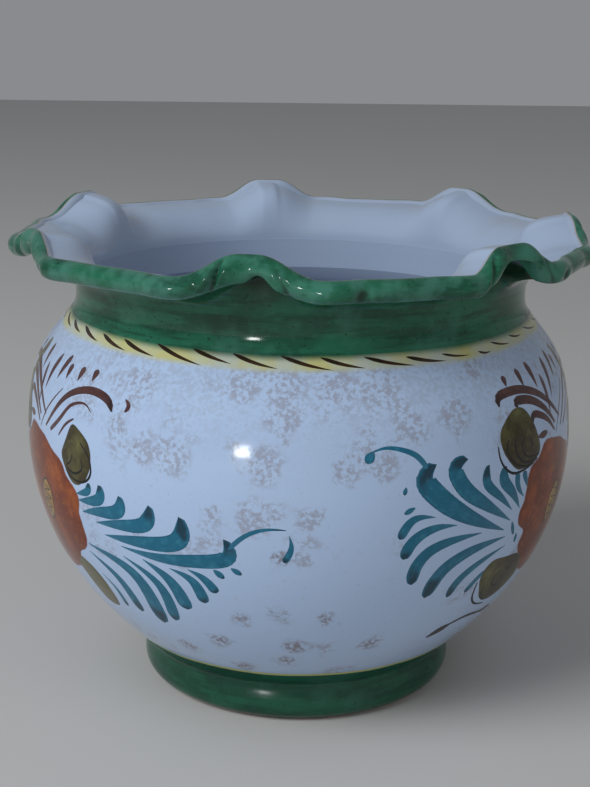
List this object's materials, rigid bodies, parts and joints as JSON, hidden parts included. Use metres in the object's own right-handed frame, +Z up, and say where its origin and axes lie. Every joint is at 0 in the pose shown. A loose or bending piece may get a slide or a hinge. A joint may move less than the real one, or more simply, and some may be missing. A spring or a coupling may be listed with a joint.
{
  "type": "flower pot",
  "caption": "Round glazed earthenware cachepot on a foot ring, with a full belly, a low collar and a flared lip whose rolled edge is pinched into waves.",
  "frame": {"origin": "centre of the foot ring's tread, on the surface the pot stands on", "axes": "+Z up along the wheel's axis, -Y towards the viewer, +X to the viewer's right"},
  "size_m": [0.25, 0.254, 0.2093],
  "materials": {
    "white_glaze": "glossy tin glaze, bluish white, sponged grey",
    "green_glaze": "glossy copper-green glaze, streaked",
    "yellow_paint": "pale yellow brushwork under clear glaze",
    "brown_paint": "dark manganese-brown brushwork under clear glaze",
    "teal_paint": "dark teal brushwork under clear glaze",
    "olive_paint": "olive-green brushwork under clear glaze",
    "orange_paint": "orange brushwork under clear glaze",
    "ochre_paint": "yellow-ochre brushwork under clear glaze"
  },
  "bodies": {
    "root": {"foot_ring": "green_glaze", "floor_disc": "green_glaze", "belly_wall": "white_glaze", "collar": "green_glaze", "flared_lip": "white_glaze", "rolled_edge": "green_glaze"}
  },
  "joints": []
}
